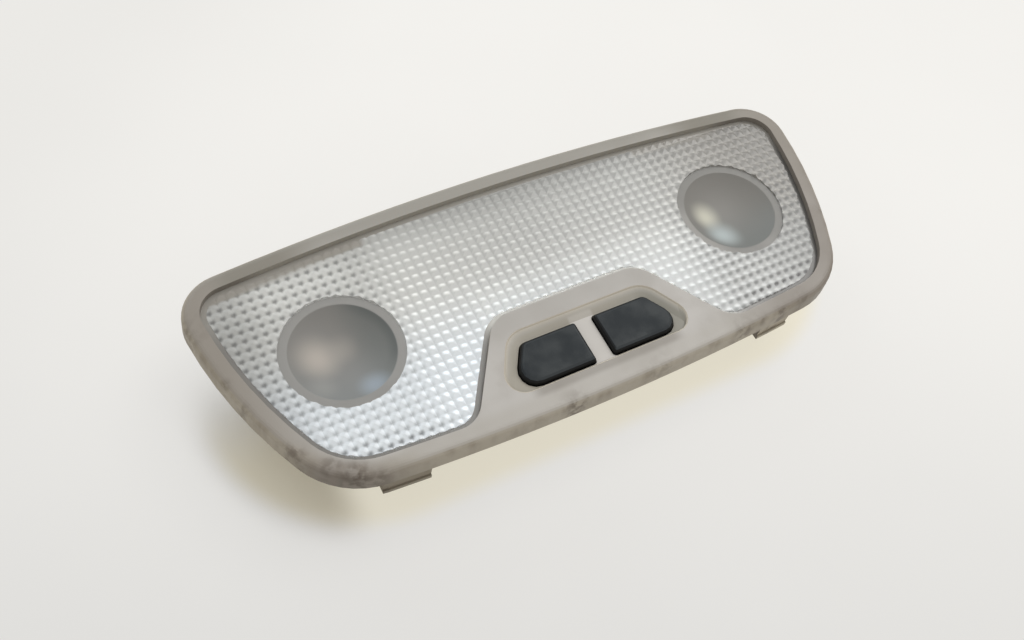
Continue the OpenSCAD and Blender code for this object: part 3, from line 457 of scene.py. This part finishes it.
switchLook = {
    "colour": (0.022, 0.023, 0.025),
    "blotch": (0.036, 0.037, 0.040),
    "blotchSize": 7,
    "grainSize": 0.6,
    "grain": 0.3,
    "roughness": (0.4, 0.55),
}
dress(plasticFinish("switchPlastic", switchLook), "switch_body_left", "switch_body_right")
print("plastics finished")


metalSurface = {
    "stains": (0.45, 0.72),  # where the noise turns from the colour to the stain
    "lineSize": 0.5,  # of the drawn metal's fine lines
    "lineDepth": 0.02,
}


def metalFinish(name, look):
    material, tree, shader = startMaterial(name)
    place = placeOf(tree)
    stains = fade(tree, cloud(tree, place, look["stainSize"], detail=4), *metalSurface["stains"])
    lines = cloud(tree, place, metalSurface["lineSize"], detail=3, stretch=look["lineStretch"])
    feed(tree, shader.inputs["Base Color"], tint(tree, stains, look["colour"], look["stain"]))
    shader.inputs["Metallic"].default_value = 1.0
    vary(tree, shader.inputs["Roughness"], lines, look["roughness"])
    roughen(tree, shader, lines, look["bump"], metalSurface["lineDepth"])
    return material


brassLook = {
    "colour": (0.80, 0.60, 0.30),
    "stain": (0.42, 0.28, 0.13),
    "stainSize": 6,
    "lineStretch": (0.15, 1, 1),
    "bump": 0.2,
    "roughness": (0.22, 0.42),
}
dress(metalFinish("contactBrass", brassLook), "supply_strip", "door_light_strip", "ground_strip_left",
      "ground_strip_right", "switch_strip_left", "switch_strip_right", "connector_pins",
      "tube_bulb_clip_left", "tube_bulb_clip_right")

springLook = {
    "colour": (0.60, 0.60, 0.61),
    "stain": (0.42, 0.39, 0.36),
    "stainSize": 4,
    "lineStretch": (1, 1, 0.3),
    "bump": 0.07,
    "roughness": (0.28, 0.42),
    "travel": 1.8,  # millimetres that a button goes down
    "doubles": 0.001,  # corners of the copied mesh nearer than this are one
    "smoothAngle": 50,
}
springSteel = metalFinish("springSteel", springLook)
dress(springSteel, "spring_clip_left", "spring_clip_right")


def buttonSpring(side, material, look):
    # a smooth copy of the button's coil, fixed to the lamp, in place of the original
    node = "button_spring_" + side
    coil = bpy.data.objects.new("coil_" + side, parts[node].data.copy())
    bpy.context.scene.collection.objects.link(coil)
    bpy.ops.object.select_all(action="DESELECT")
    coil.select_set(True)
    bpy.context.view_layer.objects.active = coil
    bpy.ops.object.mode_set(mode="EDIT")
    bpy.ops.mesh.select_all(action="SELECT")
    bpy.ops.mesh.remove_doubles(threshold=look["doubles"] * millimetre)
    bpy.ops.object.mode_set(mode="OBJECT")
    bpy.ops.object.shade_smooth_by_angle(angle=math.radians(look["smoothAngle"]))
    coil.data.materials.clear()
    coil.data.materials.append(material)
    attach(coil, "lamp")
    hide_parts(node)
    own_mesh(coil)


buttonSpring("left", springSteel, springLook)
buttonSpring("right", springSteel, springLook)
print("springs made")

screwLook = {
    "colour": (0.66, 0.65, 0.60),
    "stain": (0.50, 0.44, 0.30),
    "stainSize": 2,
    "lineStretch": (1, 1, 1),
    "bump": 0.15,
    "roughness": (0.28, 0.45),
}
dress(metalFinish("screwSteel", screwLook), "housing_screws")

cupLook = {
    "colour": (0.90, 0.91, 0.92),
    "stain": (0.80, 0.79, 0.76),
    "stainSize": 8,
    "lineStretch": (1, 1, 1),
    "bump": 0.05,
    "roughness": (0.08, 0.16),
}
dress(metalFinish("reflectorBright", cupLook), "spot_reflector_left", "spot_reflector_right")
print("metals finished")


def letLightThrough(tree, shader, colour):
    # the lamps' light reaches what is behind the glass
    clear = addNode(tree, "BsdfTransparent")
    clear.inputs["Color"].default_value = (*colour, 1)
    isShadow = addNode(tree, "LightPath").outputs["Is Shadow Ray"]
    blendShaders(tree, isShadow, shader.outputs[0], clear.outputs[0])


leftHalf = [("x", 5, -5)]
rightHalf = [("x", -5, 5)]

lensLook = {
    "prismPitch": 3,
    "outlineRadius": 920,  # of the lens's bowed long sides
    "colour": (0.66, 0.67, 0.66),
    # painted light: warmer at the right, cooler and bluer towards the near part and the left
    "zones": {
        "warm": ((0.66, 0.64, 0.60), [("x", 40, 85), ("y", -20, 5)]),
        "cool": ((0.655, 0.70, 0.745), [("y", 12, -18), ("x", 110, -40)]),
    },
    "levels": {  # painted light: how bright the tray shows through the prisms
        "far": [("y", 37, 24, 0.70, 0.93)],
        "near": [("y", 30, -26, 0, 0.36)],
        "across": [("x", -60, 5, 1.13, 0.82), ("x", -78, -96, 1, 0.68), ("x", 38, 92, 1, 0.56)],
        "leftFar": [("x", -52, -64), ("y", 14, 26, 0, 0.16)],
        "rightNear": [("x", 30, 42), ("x", 64, 52), ("y", -2, -28, 0, 0.16)],
    },
    "cutFaces": [("upward", 0.6, 0.2, 1, 1.9)],  # painted light: upright faces, where a prism is cut off, are made brighter
    "dotCore": 0.05,  # in prisms
    # painted highlights: a bright dot in each prism
    "glint": {  # x, shift and y are the dot's place in a prism's square, in millimetres
        "rightward": [("x", -62, -35)],
        "x": [("rightward", 0, 1, 1.45, 0.1)],
        "shift": [("x", 42, 60, 0, 0.9)],
        "y": [("x", -10, 35, 0.5, 1.15)],
        "strength": [("rightward", 0, 1, 0.14, 0.78), ("x", 48, 72, 1, 0.75), ("y", 34, 12, 0.5, 1)],
        "reach": 0.5,  # in prisms
        "squeeze": 1.35,
    },
    "shadeDots": [  # painted shade: dark dots at the left and at the right end
        {"spot": (1.5, -1.35), "reach": 0.44,
         "strength": [("x", -38, -60, 0, 0.56), ("y", -6, -20, 1, 0.6), ("nearBow", -29.5, -32.5, 1, 2)]},
        {"spot": (-1.0, -0.1), "reach": 0.38,
         "strength": [("x", 34, 58, 0, 0.7), ("y", 16, 0, 0.3, 1), ("nearBow", -28.5, -31.5, 1, 1.4)]},
    ],
    "edges": {
        "band": ((0.39, 0.37, 0.335), [  # painted shade, brown: the tray's far wall seen through the lens
            ("farBow", 31.8, 33.6), ("length", 47, 50), ("x", 84, 76), ("x", -5, 5, 0.95, 0.6),
        ]),
        "border": ({  # smooth, round the prisms: painted shade, lighter on the far side and by the island, darkest at the right
            "colour": (0.27, 0.26, 0.245),
            "zones": {
                "right": ((0.15, 0.145, 0.138), [("x", 54, 62)]),
                "far": ((0.40, 0.385, 0.355), [("y", 12, 26)]),
                "island": ((0.60, 0.59, 0.56), [("x", -31, -24), ("x", 51, 44), ("y", 8, 2)]),
            },
        }, [("upward", 0.93, 0.99)]),
        # painted shade on the flat rings round the spots, darker at the right, with a painted highlight on
        # the right ring
        "rings": ({
            "colour": (0.335, 0.33, 0.32),
            "zones": {
                "right": ((0.245, 0.24, 0.228), rightHalf),
                "bright": ((0.47, 0.46, 0.44), [("rightNearRing",)]),
            },
        }, [("inRing",), ("rightNearRing", 0, 1, 1, 0.3), ("leftNearRing", 0, 1, 1, 0.6)]),
    },
    "spotAt": (68, 0.7),  # middle of the right spot, and mirrored of the left
    "inBowl": [("reach", 15.7, 15.1)],
    "inRing": [("reach", 18.1, 17.9)],
    "ringSlant": 1.1,  # the near left side of the right ring takes the painted highlight
    "rightNearRing": rightHalf + [("ringSide", 64, 46)],
    "leftNearRing": leftHalf + [("y", -11, -16)],
    # painted: the bowls' dark inside, a painted reflection lighter at their low side, and painted shade at
    # the left bowl's right and edge
    "bowls": {
        "colour": (0.25, 0.245, 0.235),
        "zones": {
            "right": ((0.25, 0.243, 0.23), rightHalf),
            "low": ({
                "colour": (0.24, 0.25, 0.25),
                "zones": {"right": ((0.205, 0.215, 0.21), rightHalf)},
            }, [("y", 6, -14)]),
            "leftBowlShade": ((0.195, 0.205, 0.20), leftHalf + [("rightOf", 0, 11)]),
            "leftBowlEdge": ((0.115, 0.13, 0.13), leftHalf + [
                ("reach", 12, 15.2), ("rightOf", 3, 12), ("y", -10, -4, 0, 0.6),
            ]),
        },
    },
    "glowCore": 0.3,  # millimetres
    # painted glow of the bulbs and reflectors behind the frosted bowls, and painted bluish reflections of the
    # window
    "glows": [  # x, y and radius in millimetres, strength, colour
        (-74.6, 3.0, 9, 0.8, (0.50, 0.455, 0.41)), (-67, 3.5, 6, 0.45, (0.42, 0.39, 0.36)),
        (-63.5, -12, 6.5, 0.75, (0.36, 0.42, 0.49)), (-77, -7, 6, 0.5, (0.34, 0.34, 0.33)),
        (61.2, 3.0, 7, 0.95, (0.64, 0.63, 0.54)), (62.4, -5.6, 8, 0.9, (0.50, 0.56, 0.57)),
    ],
    "bowlCentre": 46.8,  # height of the middle of the bowls' round
    "topSide": [("upward", 0.5, 0.75)],
    "flatten": 0.84,  # share of the prisms' slopes that the haze evens out
    "prismClear": 0.25,
    "bowlClear": 0.15,
    "ior": 1.49,
    "prismRoughness": 0.25,
    "ringRoughness": 0.4,
    "bowlRoughness": 0.55,
    "frostSize": 0.5,
    "frost": 0.15,
    "frostDepth": 0.04,
    "shadowTint": (0.9, 0.91, 0.92),
}


def prismDots(tree, at, look, spot, reach, squeeze=1.0):
    # one soft dot in every prism's square, which squeeze makes flatter
    squares = []
    for name, middle, scale in (("x", spot[0], 1.0), ("y", spot[1], squeeze * squeeze)):
        moved = calc(tree, "DIVIDE", calc(tree, "SUBTRACT", at[name], middle), look["prismPitch"])
        share = calc(tree, "SUBTRACT", calc(tree, "FRACT", calc(tree, "ADD", moved, 0.5)), 0.5)
        squares.append(product(tree, share, share, scale))
    gap = calc(tree, "SQRT", calc(tree, "ADD", *squares))
    return fade(tree, gap, reach, look["dotCore"])


def lensMeasures(tree, look):
    # farBow and nearBow follow the bowed sides, reach and rightOf start at the nearest spot's middle
    at = measuresOf(tree)
    sag = calc(tree, "DIVIDE", product(tree, at["x"], at["x"]), 2 * look["outlineRadius"])
    at["farBow"] = calc(tree, "ADD", at["y"], sag)
    at["nearBow"] = calc(tree, "SUBTRACT", at["y"], sag)
    at["reach"] = awayFrom(tree, at["length"], at["y"], look["spotAt"])
    spotX = product(tree, calc(tree, "SIGN", at["x"]), look["spotAt"][0])
    at["rightOf"] = calc(tree, "SUBTRACT", at["x"], spotX)
    at["ringSide"] = calc(tree, "ADD", at["x"], product(tree, at["y"], look["ringSlant"]))
    for name in ("inBowl", "inRing", "rightNearRing", "leftNearRing"):
        at[name] = within(tree, at, look[name])
    return at


def trayLevel(tree, at, levels):
    # painted light: the prisms throw back the bright tray below them, more so towards the near edge
    share = {name: within(tree, at, limits) for name, limits in levels.items()}
    along = calc(tree, "ADD", share["far"], share["near"])
    uneven = calc(tree, "ADD", 1.0, calc(tree, "SUBTRACT", share["leftFar"], share["rightNear"]))
    return product(tree, along, share["across"], uneven)


def prismImages(tree, at, look):
    # painted highlights and shade: each prism shows a small bright image of the room, and at the ends a dark
    # one
    glint = look["glint"]
    at["rightward"] = within(tree, at, glint["rightward"])
    glintX = calc(tree, "ADD", within(tree, at, glint["x"]), within(tree, at, glint["shift"]))
    spot = (glintX, within(tree, at, glint["y"]))
    bright = prismDots(tree, at, look, spot, glint["reach"], glint["squeeze"])
    lift = calc(tree, "ADD", 1.0, product(tree, bright, within(tree, at, glint["strength"])))
    drop = 1.0
    for shadeDot in look["shadeDots"]:
        dark = prismDots(tree, at, look, shadeDot["spot"], shadeDot["reach"])
        drop = calc(tree, "SUBTRACT", drop, product(tree, dark, within(tree, at, shadeDot["strength"])))
    return product(tree, lift, drop)


def evenSlopes(tree, at, look):
    # the haze evens out the prisms' slopes, and the bowls are evenly round
    topSide = within(tree, at, look["topSide"])
    outsideRing = calc(tree, "SUBTRACT", 1.0, at["inRing"])
    even = blendVectors(tree, product(tree, outsideRing, topSide, look["flatten"]), at["facing"], (0, 0, 1))
    towardsX = calc(tree, "MULTIPLY", at["rightOf"], -1.0)
    towardsY = calc(tree, "SUBTRACT", look["spotAt"][1], at["y"])
    towardsZ = calc(tree, "SUBTRACT", look["bowlCentre"], at["z"])
    bowlSlope = unit(tree, joined(tree, towardsX, towardsY, towardsZ))
    return unit(tree, blendVectors(tree, product(tree, at["inBowl"], topSide), even, bowlSlope))


def lensFinish(look):
    material, tree, shader = startMaterial("lensClear")
    at = lensMeasures(tree, look)
    # painted light and shade scale the lens's colour
    light = product(tree, trayLevel(tree, at, look["levels"]), prismImages(tree, at, look),
                    within(tree, at, look["cutFaces"]))
    colour = scaled(tree, layOver(tree, at, look["colour"], look["zones"]), light)
    colour = layOver(tree, at, colour, look["edges"])

    bowl = layOver(tree, at, look["bowls"]["colour"], look["bowls"]["zones"])
    # painted glows and reflections on the bowls
    for glowX, glowY, radius, strength, glow in look["glows"]:
        gap = awayFrom(tree, at["x"], at["y"], (glowX, glowY))
        bowl = tint(tree, fade(tree, gap, radius, look["glowCore"], 0, strength), bowl, glow)
    feed(tree, shader.inputs["Base Color"], tint(tree, at["inBowl"], colour, bowl))

    clear = fade(tree, at["inBowl"], 0, 1, look["prismClear"], look["bowlClear"])
    feed(tree, shader.inputs["Transmission Weight"], clear)
    shader.inputs["IOR"].default_value = look["ior"]
    rough = fade(tree, at["inRing"], 0, 1, look["prismRoughness"], look["ringRoughness"])
    bowlExtra = product(tree, at["inBowl"], look["bowlRoughness"] - look["ringRoughness"])
    feed(tree, shader.inputs["Roughness"], calc(tree, "ADD", rough, bowlExtra))
    grain = cloud(tree, at["place"], look["frostSize"], detail=3)
    frost = roughen(tree, shader, grain, look["frost"], look["frostDepth"])
    tree.links.new(evenSlopes(tree, at, look), frost.inputs["Normal"])
    letLightThrough(tree, shader, look["shadowTint"])
    return material


dress(lensFinish(lensLook), "lens")
print("lens finished")


bulbLook = {
    "colour": (0.97, 0.95, 0.90),
    "clear": 0.9,
    "ior": 1.45,
    "rippleSize": 3,
    "roughness": (0.03, 0.09),
    "shadowTint": (0.9, 0.9, 0.9),
}


def bulbFinish(look):
    material, tree, shader = startMaterial("bulbGlass")
    shader.inputs["Base Color"].default_value = (*look["colour"], 1)
    shader.inputs["Transmission Weight"].default_value = look["clear"]
    shader.inputs["IOR"].default_value = look["ior"]
    ripple = cloud(tree, placeOf(tree), look["rippleSize"], detail=2)
    vary(tree, shader.inputs["Roughness"], ripple, look["roughness"])
    letLightThrough(tree, shader, look["shadowTint"])
    return material


dress(bulbFinish(bulbLook), "reading_bulb_left", "reading_bulb_right", "tube_bulb")
print("bulbs finished")


tableLook = {
    "size": 8,  # metres
    "colour": (0.745, 0.74, 0.725),
    # painted light: the table is lighter away from the camera, darker towards the near side
    "zones": {"far": ((0.93, 0.918, 0.89), [("depth", -215, 95)])},
    "depth": (0.5, 0.86),  # how far x and y lead away from the camera
    "slant": (0.6, -0.8),
    # painted light falloff: a little darker towards the far left
    "slantLevel": [("slant", -100, -200, 1, 0.94)],
    "mottleSize": 120,
    "mottle": (0.985, 1),
    "partCore": (60, 5),  # half length and near edge of what the gap is measured from
    "warm": (1.0, 0.955, 0.82),
    "warmth": [("gap", 53, 45), ("y", 14, -14)],
    "glow": 0.8,  # share of its own light, which keeps the shadows soft
    "light": 0.95,
    "leftShadow": [("gap", 60, 42), ("x", -70, -89), ("y", 35, -5)],
    "shadowGlow": [("leftShadow", 0, 1, 1, 0.08)],
    "roughness": 0.75,
    "gloss": 0.2,
}


def tableFinish(look):
    material, tree, shader = startMaterial("tableTop")
    at = measuresOf(tree)
    for name in ("depth", "slant"):
        partX, partY = look[name]
        at[name] = calc(tree, "ADD", product(tree, at["x"], partX), product(tree, at["y"], partY))
    board = layOver(tree, at, look["colour"], look["zones"])
    mottle = cloud(tree, at["place"], look["mottleSize"], detail=3)
    board = scaled(tree, board, fade(tree, mottle, *noiseReach, *look["mottle"]))
    board = scaled(tree, board, within(tree, at, look["slantLevel"]))

    # light thrown back by the part's beige wall
    halfLength, nearEdge = look["partCore"]
    across = calc(tree, "MAXIMUM", calc(tree, "SUBTRACT", at["length"], halfLength), 0.0)
    along = calc(tree, "MAXIMUM", calc(tree, "SUBTRACT", nearEdge, at["y"]), 0.0)
    at["gap"] = awayFrom(tree, across, along, (0, 0))
    board = tint(tree, within(tree, at, look["warmth"]), board, look["warm"], "MULTIPLY")
    feed(tree, shader.inputs["Base Color"], board)
    shader.inputs["Roughness"].default_value = look["roughness"]
    shader.inputs["Specular IOR Level"].default_value = look["gloss"]

    # the table's own light, with a deeper shadow at the left end
    own = addNode(tree, "Emission")
    feed(tree, own.inputs["Color"], board)
    own.inputs["Strength"].default_value = look["light"]
    seen = addNode(tree, "LightPath").outputs["Is Camera Ray"]
    at["leftShadow"] = within(tree, at, look["leftShadow"])
    share = product(tree, seen, look["glow"], within(tree, at, look["shadowGlow"]))
    blendShaders(tree, share, shader.outputs[0], own.outputs[0])
    return material


bpy.ops.object.select_all(action="DESELECT")
bpy.ops.mesh.primitive_plane_add(size=tableLook["size"], location=(0, 0, 0))
table = bpy.context.object
table.name = "table"
table.data.materials.append(tableFinish(tableLook))
print("table laid")

roomLook = {
    "colour": (1.0, 0.972, 0.925),
    "strength": 0.64,
}

world = bpy.data.worlds.new("room")
bpy.context.scene.world = world
world.use_nodes = True
sky = world.node_tree.nodes["Background"]
sky.inputs["Color"].default_value = (*roomLook["colour"], 1)
sky.inputs["Strength"].default_value = roomLook["strength"]

lamps = {  # place and size in metres, power in watts, each aimed at the table under the part's middle
    "windowLamp": {"place": (-0.2, 1.2, 0.7), "size": 0.8, "power": 4, "colour": (0.84, 0.93, 1.0)},
    "ceilingLamp": {"place": (0.9, 0.3, 1.4), "size": 0.9, "power": 11, "colour": (1.0, 0.99, 0.97)},
}

for name, lamp in lamps.items():
    light = bpy.data.lights.new(name, "AREA")
    light.energy = lamp["power"]
    light.size = lamp["size"]
    light.color = lamp["colour"]
    holder = bpy.data.objects.new(name, light)
    bpy.context.scene.collection.objects.link(holder)
    holder.location = lamp["place"]
    holder.rotation_euler = (-holder.location).to_track_quat("-Z", "Y").to_euler()

bpy.context.scene.view_settings.view_transform = "Standard"
print("stage lit")
